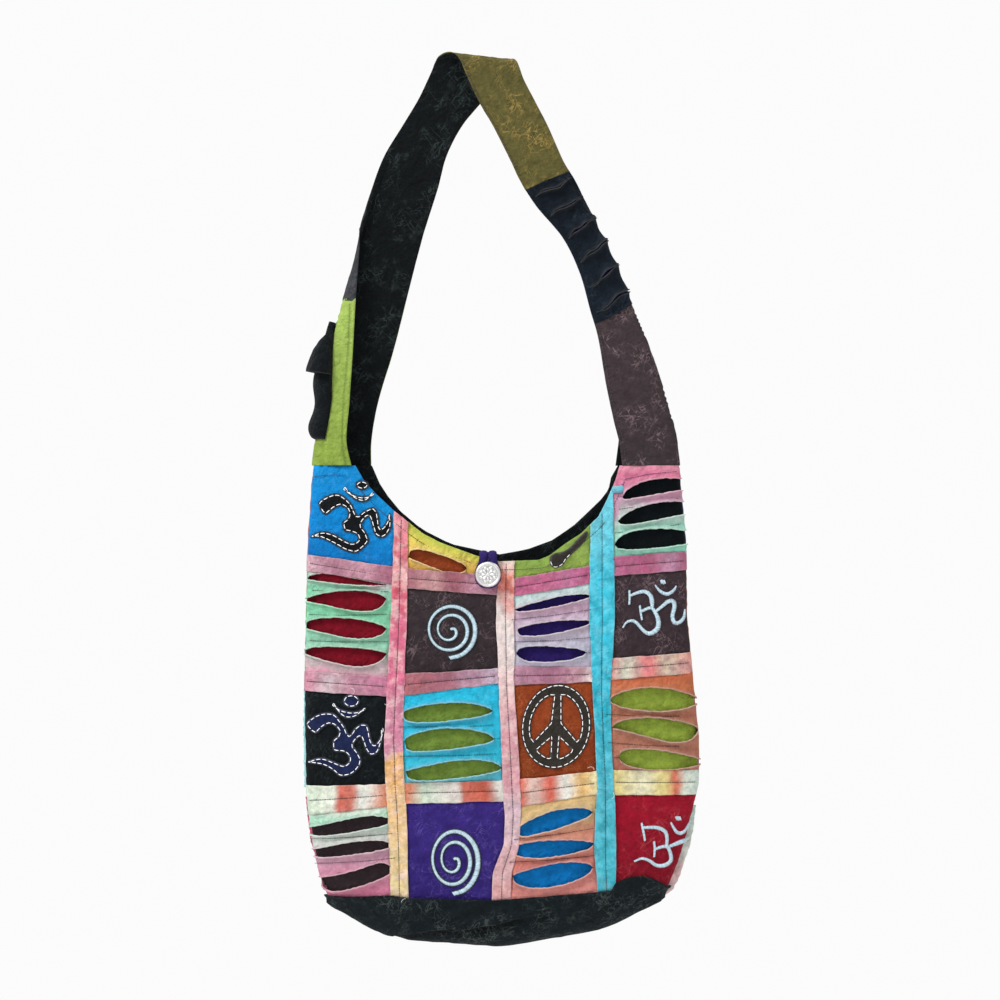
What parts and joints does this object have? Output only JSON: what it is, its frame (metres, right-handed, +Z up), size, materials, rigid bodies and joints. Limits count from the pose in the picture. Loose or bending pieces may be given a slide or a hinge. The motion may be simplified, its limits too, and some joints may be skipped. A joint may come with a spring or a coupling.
{
  "type": "patchwork cotton crossbody bag",
  "caption": "Soft patchwork shoulder bag with a rounded base, scooped mouth, slashed and tie-dyed patches, a wide folded strap, a small side pocket and a button with a cloth loop.",
  "frame": {"origin": "underside of the strap's top fold, where a hook, a peg or a shoulder carries the bag", "axes": "+Z up the hanging bag, -Y out of its front, +X to the right of a viewer at its front"},
  "size_m": [0.3818, 0.058, 0.8549],
  "materials": {
    "silver_metal": "silver-white metal with a smooth rim and worn relief",
    "azure_cotton": "stone-washed woven cotton, matt, creased and paler at its edges",
    "back_cotton": "stone-washed woven cotton, matt, creased and paler at its edges",
    "black_cotton": "stone-washed woven cotton, matt, creased and paler at its edges",
    "blue_cotton": "stone-washed woven cotton, matt, creased and paler at its edges",
    "brown_cotton": "stone-washed woven cotton, matt, creased and paler at its edges",
    "charcoal_cotton": "stone-washed woven cotton, matt, creased and paler at its edges",
    "crimson_cotton": "stone-washed woven cotton, matt, creased and paler at its edges",
    "dark_red_cotton": "stone-washed woven cotton, matt, creased and paler at its edges",
    "green_cotton": "stone-washed woven cotton, matt, creased and paler at its edges",
    "grey_brown_cotton": "stone-washed woven cotton, matt, creased and paler at its edges",
    "ink_cotton": "stone-washed woven cotton, matt, creased and paler at its edges",
    "lilac_tie_dye": "stone-washed woven cotton, matt, creased and paler at its edges",
    "lime_cotton": "stone-washed woven cotton, matt, creased and paler at its edges",
    "lime_yellow_tie_dye": "stone-washed woven cotton, matt, creased and paler at its edges",
    "mint_pink_tie_dye": "stone-washed woven cotton, matt, creased and paler at its edges",
    "mint_rose_tie_dye": "stone-washed woven cotton, matt, creased and paler at its edges",
    "olive_green_cotton": "stone-washed woven cotton, matt, creased and paler at its edges",
    "peach_tie_dye": "stone-washed woven cotton, matt, creased and paler at its edges",
    "pink_mint_tie_dye": "stone-washed woven cotton, matt, creased and paler at its edges",
    "pink_strip": "stone-washed woven cotton, matt, creased and paler at its edges",
    "purple_cotton": "stone-washed woven cotton, matt, creased and paler at its edges",
    "rust_brown_cotton": "stone-washed woven cotton, matt, creased and paler at its edges",
    "rust_cotton": "stone-washed woven cotton, matt, creased and paler at its edges",
    "salmon_strip": "stone-washed woven cotton, matt, creased and paler at its edges",
    "strap_charcoal": "stone-washed woven cotton, matt, creased and paler at its edges",
    "strap_lime": "stone-washed woven cotton, matt, creased and paler at its edges",
    "strap_mauve": "stone-washed woven cotton, matt, creased and paler at its edges",
    "strap_navy": "stone-washed woven cotton, matt, creased and paler at its edges",
    "strap_olive": "stone-washed woven cotton, matt, creased and paler at its edges",
    "tan_cotton": "stone-washed woven cotton, matt, creased and paler at its edges",
    "turquoise_cotton": "stone-washed woven cotton, matt, creased and paler at its edges",
    "turquoise_strip": "stone-washed woven cotton, matt, creased and paler at its edges",
    "violet_cotton": "stone-washed woven cotton, matt, creased and paler at its edges"
  },
  "bodies": {
    "root": {"back_column_1": "back_cotton", "back_column_2": "back_cotton", "back_column_3": "back_cotton", "back_column_4": "back_cotton", "back_strip_1": "pink_strip", "back_strip_2": "salmon_strip", "back_strip_3": "turquoise_strip", "base": "black_cotton", "button": "silver_metal", "button_loop": "violet_cotton", "long_strip_1": "pink_strip", "long_strip_2": "salmon_strip", "long_strip_3": "turquoise_strip", "patch_black": "black_cotton", "patch_blue": "azure_cotton", "patch_brown": "brown_cotton", "patch_charcoal": "charcoal_cotton", "patch_crimson": "crimson_cotton", "patch_green": "green_cotton", "patch_lilac": "lilac_tie_dye", "patch_lime_yellow": "lime_yellow_tie_dye", "patch_mint_pink": "mint_pink_tie_dye", "patch_mint_rose": "mint_rose_tie_dye", "patch_peach": "peach_tie_dye", "patch_pink_mint": "pink_mint_tie_dye", "patch_purple": "purple_cotton", "patch_rust": "rust_cotton", "patch_tan": "tan_cotton", "patch_turquoise": "turquoise_cotton", "pocket": "black_cotton", "pouch_lining_back": "black_cotton", "pouch_lining_front": "black_cotton", "strap_charcoal": "strap_charcoal", "strap_green": "strap_lime", "strap_lining_long": "black_cotton", "strap_lining_short": "black_cotton", "strap_mauve": "strap_mauve", "strap_navy": "strap_navy", "strap_olive": "strap_olive", "strip_1_1": "pink_strip", "strip_1_2": "salmon_strip", "strip_1_3": "pink_strip", "strip_2_1": "salmon_strip", "strip_2_2": "pink_strip", "strip_2_3": "salmon_strip", "strip_3_1": "pink_strip", "strip_3_2": "salmon_strip", "strip_3_3": "pink_strip", "strip_4_1": "salmon_strip", "strip_4_2": "pink_strip", "strip_4_3": "salmon_strip", "under_lilac": "violet_cotton", "under_lime_yellow": "rust_brown_cotton", "under_mint_pink": "dark_red_cotton", "under_mint_rose": "grey_brown_cotton", "under_navy": "violet_cotton", "under_peach": "blue_cotton", "under_pink_mint": "ink_cotton", "under_tan": "lime_cotton", "under_turquoise": "olive_green_cotton"}
  },
  "joints": []
}
